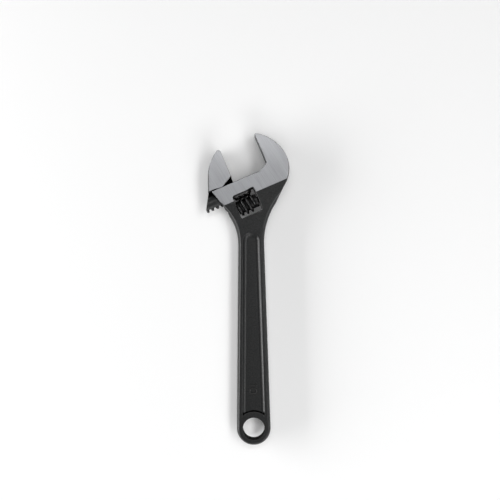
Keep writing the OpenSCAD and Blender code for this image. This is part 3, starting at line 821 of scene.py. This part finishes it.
class WrenchBody(bpy.types.PropertyGroup):
    """Sizes of the forged body's finish."""
    edge_round: bpy.props.FloatProperty(
        name="Forged edges", description="Radius of the forged edges of jaws and handle",
        default=1.0 * MM, unit="LENGTH")
    ground_round: bpy.props.FloatProperty(
        name="Ground edges", description="Radius of the ground edges along the shelf",
        default=0.12 * MM, unit="LENGTH")
    hole_round: bpy.props.FloatProperty(
        name="Hole edge", description="Radius of the edge of the hang hole",
        default=0.6 * MM, unit="LENGTH")
    grid: bpy.props.FloatProperty(
        name="Grid", description="Step of the grid that the body's mesh is made on",
        default=0.45 * MM, unit="LENGTH")


class WrenchMark(bpy.types.PropertyGroup):
    """Sizes of the raised size mark."""
    tall: bpy.props.FloatProperty(
        name="Height", description="Height of the figures", default=6.6 * MM, unit="LENGTH")
    stroke: bpy.props.FloatProperty(
        name="Stroke", description="Width of the figures' strokes", default=1.0 * MM, unit="LENGTH")
    raised: bpy.props.FloatProperty(
        name="Raised", description="How far the figures stand up from the panel",
        default=0.5 * MM, unit="LENGTH")


class WrenchJaw(bpy.types.PropertyGroup):
    """Sizes of the sliding jaw's finish."""
    edge_round: bpy.props.FloatProperty(
        name="Forged edges", description="Radius of the forged edges of the hook",
        default=1.2 * MM, unit="LENGTH")
    ground_round: bpy.props.FloatProperty(
        name="Ground edges", description="Radius of the ground edges next to the shelf",
        default=0.12 * MM, unit="LENGTH")
    grid: bpy.props.FloatProperty(
        name="Grid", description="Step of the grid that the jaw's mesh is made on",
        default=0.36 * MM, unit="LENGTH")


class WrenchWorm(bpy.types.PropertyGroup):
    """Sizes of the worm's knurl."""
    grooves: bpy.props.IntProperty(
        name="Grooves", description="Number of knurl grooves round the worm", default=48, min=12)
    groove_depth: bpy.props.FloatProperty(
        name="Groove depth", description="Depth of the knurl grooves", default=0.1 * MM, unit="LENGTH")
    crest_round: bpy.props.FloatProperty(
        name="Crest edges", description="Radius of the edges of the thread's crest",
        default=0.55 * MM, unit="LENGTH")


class WrenchFinish(bpy.types.PropertyGroup):
    """Colours of the wrench."""
    dark: bpy.props.StringProperty(
        name="Dark oxide", description="Darker tone of the black oxide, as sRGB hex",
        default="#0f1011")
    light: bpy.props.StringProperty(
        name="Light oxide", description="Lighter tone of the black oxide, as sRGB hex",
        default="#161717")
    bright: bpy.props.StringProperty(
        name="Bright steel", description="Lighter tone of the ground steel, as sRGB hex",
        default="#aeafb2")
    dull: bpy.props.StringProperty(
        name="Dull steel", description="Darker tone of the ground steel, as sRGB hex",
        default="#96979a")


# ---- operators ----


class WRENCH_OT_finishes(bpy.types.Operator):
    """Makes the finishes of all pieces"""
    bl_idname = "wrench.finishes"
    bl_label = "Finishes"

    def execute(self, context):
        make_materials()
        return {"FINISHED"}


class WRENCH_OT_body(bpy.types.Operator):
    """Builds the forged body with its handle, head and fixed jaw"""
    bl_idname = "wrench.body"
    bl_label = "Forged body"

    def execute(self, context):
        step = context.scene.wrench_body.grid / MM
        outline = body_outline() - CORNER
        ends = np.stack([outline @ ALONG, outline @ ACROSS], 1)
        low = ends.min(0) - MESH_MARGIN
        high = (*(ends.max(0) + MESH_MARGIN), HEAD_T / 2 + FACE_MARGIN)
        piece = field_mesh("forged_body", body_field, body_painted_shade, low, high, step, True)
        finish_piece(piece, "frame", "forged_body", "body")
        return {"FINISHED"}


def mark_field(u, v, z):
    """The plain raised figures 1 and 0, read from the head to the foot, with their tops to the right."""
    sizes = bpy.context.scene.wrench_mark
    x, y = wrench_plane(u, v)
    half = sizes.stroke / 2 / MM
    tall = sizes.tall / MM
    along = MARK_Y - y
    up = x + tall / 2
    # the 1, as a stem and a flag that falls from its top
    beside = along - MARK_ONE_AT
    stem = np.hypot(beside, up - np.clip(up, half, tall - half))
    fall = MARK_FLAG * np.clip((tall - half - up - beside) / (2 * MARK_FLAG), 0, 1)
    flag = np.hypot(beside + fall, up - tall + half + fall)
    # the 0, as a ring with rounded ends
    out = np.abs(along - MARK_ZERO_AT) - (MARK_ZERO_W / 2 - half) + MARK_ZERO_R
    rise = np.abs(up - tall / 2) - (tall / 2 - half) + MARK_ZERO_R
    ring = np.hypot(np.maximum(out, 0), np.maximum(rise, 0)) + np.minimum(np.maximum(out, rise), 0)
    figures = np.minimum(np.minimum(stem, flag), np.abs(ring - MARK_ZERO_R)) - half
    # their sides lean, and they are sunk into the panel
    floor = PANEL_T / 2
    figures = figures + MARK_LEAN * (z - floor)
    return np.maximum(both(figures, z - floor - sizes.raised / MM, SMALL_BLEND), floor - MARK_SUNK - z)


class WRENCH_OT_mark(bpy.types.Operator):
    """Builds the raised size mark on the handle's panel"""
    bl_idname = "wrench.mark"
    bl_label = "Size mark"

    def execute(self, context):
        middle = np.array([0, MARK_Y - 4]) - CORNER
        middle = np.array([middle @ ALONG, middle @ ACROSS])
        high = (*(middle + 6), PANEL_T / 2 + 1)
        piece = field_mesh("size_mark", mark_field, no_painted_shade, middle - 6, high, MARK_GRID, False)
        finish_piece(piece, "frame", "forged_body")
        return {"FINISHED"}


class WRENCH_OT_jaw(bpy.types.Operator):
    """Builds the sliding jaw with its web and toothed rail"""
    bl_idname = "wrench.jaw"
    bl_label = "Sliding jaw"

    def execute(self, context):
        step = context.scene.wrench_jaw.grid / MM
        low = (-OPENING - HOOK_W - 8, -RAIL_DEPTH - RAIL_D / 2 - 1)
        high = (RAIL_TAIL - OPENING + 1, HOOK_LEN + 3, HEAD_T / 2 + FACE_MARGIN)
        corner = (-OPENING, SHELF_CLEAR)
        piece = field_mesh("sliding_jaw_forging", jaw_field, jaw_painted_shade, low, high, step, False, corner)
        finish_piece(piece, "jaw", "forged_jaw", "sliding_jaw")
        return {"FINISHED"}


class WRENCH_OT_worm(bpy.types.Operator):
    """Builds the worm with its knurled thread"""
    bl_idname = "wrench.worm"
    bl_label = "Worm"

    def execute(self, context):
        piece = worm_mesh()
        finish_piece(piece, "screw", "worm_screw", "worm")
        return {"FINISHED"}


def worm_mesh():
    """The worm as rings round its axis, with thread, knurl and spring pocket."""
    sizes = bpy.context.scene.wrench_worm
    around = WORM_AROUND
    last = WORM_LEFT + WORM_LEN
    angles = np.arange(around) / around
    u = WORM_LEFT + WORM_LEN * np.linspace(0, 1, WORM_ROWS + 1)
    turns = (u[:, None] - CREST_U) / PITCH
    # the thread's crest at each angle is where its turns differ from the angle by a whole number
    phase = angles[None, :] + 0 * turns
    nearest = np.round(turns - phase) + phase
    off = np.abs(turns - nearest) * PITCH
    from_end = np.minimum(nearest + THREAD_LEAD_IN, THREAD_TURNS - nearest)
    grow = np.clip(from_end / THREAD_RUN_OUT, 0, 1)
    # round crest edges, straight flanks and a round root
    crest_r = sizes.crest_round / MM
    crest = np.clip((off - TIP_W / 2 + crest_r) / crest_r, 0, 1)
    top = THREAD_H - crest_r * (1 - np.sqrt(np.maximum(1 - crest * crest, 0)))
    flank = (THREAD_H - crest_r) * (ROOT_W / 2 - off) / ((ROOT_W - TIP_W) / 2)
    flank = -soft_max(-flank, -top, 0.1)
    height = soft_max(np.where(off < TIP_W / 2, top, flank), 0 * off, 0.3) * grow
    beat = np.abs(((angles * sizes.grooves) % 1) * 2 - 1)
    groove = ease(1 - beat, 0.5, 1.0) * sizes.groove_depth / MM
    radius = WORM_ROOT_R + height - groove[None, :] * ease(height, THREAD_H * 0.85, THREAD_H)
    end = np.minimum(u - WORM_LEFT, last - u)[:, None]
    radius = radius - np.maximum(WORM_END_BEVEL - end, 0)
    # the pocket and the bore close the shape from the inside
    bore = PIN_D / 2 + PIN_CLEAR
    pocket_u = last - POCKET_H
    inside = [
        (last, POCKET_R + BORE_BEVEL), (last - BORE_BEVEL, POCKET_R), (pocket_u, POCKET_R),
        (pocket_u, bore), (WORM_LEFT + BORE_BEVEL, bore), (WORM_LEFT, bore + BORE_BEVEL),
    ]
    rings = list(zip(u, radius)) + inside
    out_v = np.cos(np.pi + 2 * np.pi * angles)
    out_z = np.sin(np.pi + 2 * np.pi * angles)
    points = [
        np.stack([np.full(around, place), r * out_v - WORM_DEPTH, r * out_z], 1) for place, r in rings
    ]
    count = len(rings)
    i, j = np.meshgrid(np.arange(count), np.arange(around), indexing="ij")
    k = (i + 1) % count
    n = (j + 1) % around
    quads = np.stack([i * around + j, i * around + n, k * around + n, k * around + j], -1)
    return add_mesh("worm_screw", head_to_wrench(np.concatenate(points)), quads.reshape(-1, 4))


class WRENCH_OT_pin(bpy.types.Operator):
    """Builds the pin that the worm turns on"""
    bl_idname = "wrench.pin"
    bl_label = "Worm pin"

    def execute(self, context):
        head_u = PIN_SHOULDER - PIN_HEAD_LEN
        profile = [
            (head_u, 0.0), (head_u, PIN_HEAD_D / 2 - 0.5), (head_u + 0.15, PIN_HEAD_D / 2 - 0.15),
            (head_u + 0.5, PIN_HEAD_D / 2), (PIN_SHOULDER - 0.3, PIN_HEAD_D / 2),
            (PIN_SHOULDER, PIN_HEAD_D / 2 - 0.3), (PIN_SHOULDER, PIN_D / 2 + 0.1),
            (PIN_SHOULDER + 0.1, PIN_D / 2), (PIN_END - 0.8, PIN_D / 2), (PIN_END, PIN_D / 2 - 0.8),
            (PIN_END, 0.0),
        ]
        piece = lathe("worm_pin_steel", profile, PIN_AROUND)
        cut_slot(piece, head_u)
        finish_piece(piece, "frame", "pin_steel", "worm_pin")
        return {"FINISHED"}


def lathe(name, profile, around):
    """A turned shape on the worm's axis, from its profile in u and radius."""
    points = []
    faces = []
    rings = []
    for place, r in profile:
        if r == 0.0:
            rings.append([len(points)])
            points.append([place, -WORM_DEPTH, 0])
            continue
        rings.append(list(range(len(points), len(points) + around)))
        for i in range(around):
            way = compass(360 * i / around)
            points.append([place, -WORM_DEPTH + r * way[0], r * way[1]])
    for a, b in zip(rings, rings[1:]):
        for i in range(around):
            j = (i + 1) % around
            if len(a) == 1:
                faces.append((a[0], b[j], b[i]))
            elif len(b) == 1:
                faces.append((a[i], a[j], b[0]))
            else:
                faces.append((a[i], a[j], b[j], b[i]))
    return add_mesh(name, head_to_wrench(np.array(points, float)), faces)


def cut_slot(piece, head_u):
    """Cuts the screwdriver slot into the pin's head."""
    half = DRIVER_SLOT / 2
    corners = []
    for du in (-1.0, DRIVER_SLOT):
        for dv in (-half, half):
            for dz in (-PIN_HEAD_D, PIN_HEAD_D):
                corners.append([head_u + du, -WORM_DEPTH + dv, dz])
    faces = [(0, 1, 3, 2), (4, 6, 7, 5), (0, 4, 5, 1), (2, 3, 7, 6), (0, 2, 6, 4), (1, 5, 7, 3)]
    cutter = add_mesh("slot_cutter", head_to_wrench(np.array(corners, float)), faces)
    cut = piece.modifiers.new("slot", "BOOLEAN")
    cut.object = cutter
    cut.operation = "DIFFERENCE"
    cut.solver = "EXACT"
    graph = bpy.context.evaluated_depsgraph_get()
    mesh = bpy.data.meshes.new_from_object(piece.evaluated_get(graph))
    piece.modifiers.clear()
    piece.data = mesh
    bpy.data.objects.remove(cutter)


class WRENCH_OT_spring(bpy.types.Operator):
    """Builds the coil spring in the worm's pocket"""
    bl_idname = "wrench.spring"
    bl_label = "Worm spring"

    def execute(self, context):
        first = WORM_LEFT + WORM_LEN - POCKET_H + 0.05 + WIRE_D / 2
        last = -WINDOW_BACK - WIRE_D / 2
        steps = int(SPRING_TURNS * COIL_STEPS)
        sides = COIL_SIDES
        points = []
        faces = []
        for i in range(steps + 1):
            turns = i / COIL_STEPS
            way = compass(360 * turns)
            # half a turn lies flat at each end
            share = min(max((turns - 0.5) / (SPRING_TURNS - 1), 0), 1)
            u = first + (last - first) * share
            for k in range(sides):
                turn = compass(360 * k / sides)
                r = COIL_R + WIRE_D / 2 * turn[0]
                points.append([u + WIRE_D / 2 * turn[1], -WORM_DEPTH + r * way[0], r * way[1]])
        for i in range(steps):
            for k in range(sides):
                a = sides * i + k
                b = sides * i + (k + 1) % sides
                faces.append((a, a + sides, b + sides, b))
        faces.append(tuple(range(sides)))
        faces.append(tuple(sides * steps + k for k in reversed(range(sides))))
        piece = add_mesh("worm_spring_coil", head_to_wrench(np.array(points, float)), faces)
        finish_piece(piece, "frame", "spring_wire", "worm_spring")
        return {"FINISHED"}


class WRENCH_OT_stage(bpy.types.Operator):
    """Sets the floor, the lights and the camera"""
    bl_idname = "wrench.stage"
    bl_label = "Stage"

    def execute(self, context):
        context.scene.view_settings.view_transform = "Standard"
        add_floor(context.scene)
        for lamp in LAMPS:
            add_lamp(*lamp)
        add_world(context.scene)
        add_camera(context.scene)
        return {"FINISHED"}


def add_floor(scene):
    """A wide sheet of pale paper under the wrench, which fades into the white round it."""
    mesh = bpy.data.meshes.new("floor")
    low = CAD_BOX[0][2] - FLOOR_GAP
    corners = [(x * FLOOR_HALF, y * FLOOR_HALF, low) for x, y in ((-1, -1), (1, -1), (1, 1), (-1, 1))]
    mesh.from_pydata(corners, [], [(0, 1, 2, 3)])
    floor = bpy.data.objects.new("floor", mesh)
    scene.collection.objects.link(floor)
    material, tree, shader = new_material("studio_paper")
    shader.inputs["Base Color"].default_value = linear("#f2f2f2")
    shader.inputs["Roughness"].default_value = 0.9
    path = node(tree, "ShaderNodeLightPath").outputs
    seen = {0: path["Is Camera Ray"], 1: path["Is Glossy Ray"]}
    seen = node(tree, "ShaderNodeMath", seen, operation="MAXIMUM").outputs[0]
    seen = {0: seen, 1: path["Is Transmission Ray"]}
    seen = node(tree, "ShaderNodeMath", seen, operation="MAXIMUM").outputs[0]
    # near the wrench it glows faintly, and far away it is plain white
    place = node(tree, "ShaderNodeNewGeometry").outputs["Position"]
    away = node(tree, "ShaderNodeVectorMath", {0: place}, operation="LENGTH").outputs["Value"]
    fade = {"Value": away, "From Min": 0.5, "From Max": 1.3, "To Min": 0.07, "To Max": 1.0}
    fade = node(tree, "ShaderNodeMapRange", fade).outputs["Result"]
    glow = node(tree, "ShaderNodeMath", {0: seen, 1: fade}, operation="MULTIPLY").outputs[0]
    shader.inputs["Emission Color"].default_value = (1, 1, 1, 1)
    tree.links.new(glow, shader.inputs["Emission Strength"])
    mesh.materials.append(material)


def add_world(scene):
    """White surroundings for the eye, dim ones for the light, and pale walls for what is polished."""
    world = bpy.data.worlds.new("studio")
    scene.world = world
    world.use_nodes = True
    tree = world.node_tree
    back = tree.nodes["Background"]
    back.inputs["Color"].default_value = (1, 1, 1, 1)
    path = node(tree, "ShaderNodeLightPath").outputs
    way = node(tree, "ShaderNodeTexCoord").outputs["Generated"]
    up = node(tree, "ShaderNodeSeparateXYZ", {0: way}).outputs["Z"]
    high = node(tree, "ShaderNodeMath", {0: up}, operation="ABSOLUTE").outputs[0]
    low = node(tree, "ShaderNodeMath", {0: 1.0, 1: high}, operation="SUBTRACT").outputs[0]
    walls = {0: low, 1: path["Is Glossy Ray"]}
    walls = node(tree, "ShaderNodeMath", walls, operation="MULTIPLY").outputs[0]
    dim = {0: walls, 1: WALLS_GLOW, 2: SKY_GLOW}
    dim = node(tree, "ShaderNodeMath", dim, operation="MULTIPLY_ADD").outputs[0]
    seen = {0: dim, 1: path["Is Camera Ray"]}
    seen = node(tree, "ShaderNodeMath", seen, operation="MAXIMUM").outputs[0]
    tree.links.new(seen, back.inputs["Strength"])


def add_camera(scene):
    """The camera, straight above the wrench."""
    camera = bpy.data.cameras.new("camera")
    camera.lens = 53.3
    camera.sensor_width = 36.0
    holder = bpy.data.objects.new("camera", camera)
    holder.location = (-0.00107, 0.1457, 0.60775)
    holder.rotation_euler = (0, 0, math.radians(-0.8))
    scene.collection.objects.link(holder)
    scene.camera = holder


# the floor and the surroundings, in metres and as a share of white
FLOOR_GAP = 0.0005
FLOOR_HALF = 3.0
SKY_GLOW = 0.07
WALLS_GLOW = 0.5

# name, direction from +X, height above the floor in degrees, distance, size across and up in metres,
# and brightness, where 1 is white
LAMP_AIM_Y = 0.12
LAMPS = (
    ("softbox_over", 90, 90, 1.30, (0.5, 1.2), 0.22),
    ("softbox_foot", -90, 83, 1.30, (0.5, 0.3), 0.68),
    ("softbox_head", 100, 65, 1.28, (0.6, 0.36), 4.4),
    ("strip_left", 180, 13, 1.1, (1.3, 0.35), 11.5),
    ("strip_right", -5, 57, 1.1, (1.3, 0.3), 4.6),
    ("strip_right_low", 0, 7, 1.1, (1.3, 0.18), 0.5),
    ("strip_foot", -67, 32, 1.1, (0.9, 0.25), 6.0),
)


def add_lamp(name, azimuth, elevation, distance, size, brightness):
    """A soft box that looks at the middle of the wrench."""
    data = bpy.data.lights.new(name, "AREA")
    data.shape = "RECTANGLE"
    data.size = size[0]
    data.size_y = size[1]
    data.energy = brightness * math.pi * size[0] * size[1]
    lamp = bpy.data.objects.new(name, data)
    turn, rise = math.radians(azimuth), math.radians(elevation)
    flat = distance * math.cos(rise)
    lamp.location = (
        flat * math.cos(turn), LAMP_AIM_Y + flat * math.sin(turn), distance * math.sin(rise),
    )
    lamp.rotation_euler = (math.pi / 2 - rise, 0, turn + math.pi / 2)
    lamp.visible_camera = False
    bpy.context.scene.collection.objects.link(lamp)


class WRENCH_PT_panel(bpy.types.Panel):
    """Lists the wrench's pieces and sizes"""
    bl_idname = "WRENCH_PT_panel"
    bl_label = "Adjustable Wrench"
    bl_space_type = "VIEW_3D"
    bl_region_type = "UI"
    bl_category = "Wrench"

    def draw(self, context):
        for name in STEPS:
            self.layout.operator("wrench." + name)
        for group in GROUPS:
            settings = getattr(context.scene, group)
            for key in settings.bl_rna.properties.keys():
                if key not in ("rna_type", "name"):
                    self.layout.prop(settings, key)


STEPS = ("finishes", "body", "mark", "jaw", "worm", "pin", "spring", "stage")
GROUPS = {
    "wrench_body": WrenchBody,
    "wrench_mark": WrenchMark,
    "wrench_jaw": WrenchJaw,
    "wrench_worm": WrenchWorm,
    "wrench_finish": WrenchFinish,
}
CLASSES = (
    WrenchBody, WrenchMark, WrenchJaw, WrenchWorm, WrenchFinish,
    WRENCH_OT_finishes, WRENCH_OT_body, WRENCH_OT_mark, WRENCH_OT_jaw, WRENCH_OT_worm, WRENCH_OT_pin,
    WRENCH_OT_spring, WRENCH_OT_stage, WRENCH_PT_panel,
)


def register():
    for item in CLASSES:
        bpy.utils.register_class(item)
    for name, group in GROUPS.items():
        setattr(bpy.types.Scene, name, bpy.props.PointerProperty(type=group))


def unregister():
    for name in GROUPS:
        delattr(bpy.types.Scene, name)
    for item in reversed(CLASSES):
        bpy.utils.unregister_class(item)


def main():
    register()
    for name in STEPS:
        getattr(bpy.ops.wrench, name)()
    bpy.context.view_layer.update()


if __name__ == "__main__":
    main()
